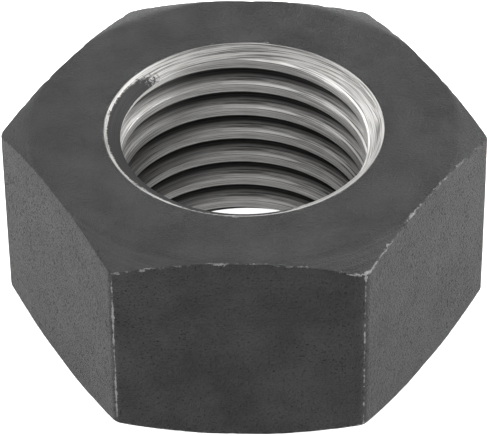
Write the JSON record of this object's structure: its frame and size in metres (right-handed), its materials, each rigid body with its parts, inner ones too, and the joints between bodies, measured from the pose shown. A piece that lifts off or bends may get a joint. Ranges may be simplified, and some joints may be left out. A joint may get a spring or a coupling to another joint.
{
  "type": "hex nut",
  "caption": "Large hexagon nut of blackened steel with a coarse right-hand metric thread, countersunk mouths and corners chamfered at both ends.",
  "frame": {"origin": "centre of the bottom bearing face, on the thread's axis", "axes": "+Z along the thread's axis from the bottom face to the top face; two opposite corners on X; two opposite flats face +Y and -Y"},
  "size_m": [0.063, 0.055, 0.0286],
  "materials": {
    "blackened_steel": "satin"
  },
  "bodies": {
    "root": {"hex_nut": "blackened_steel"}
  },
  "joints": []
}
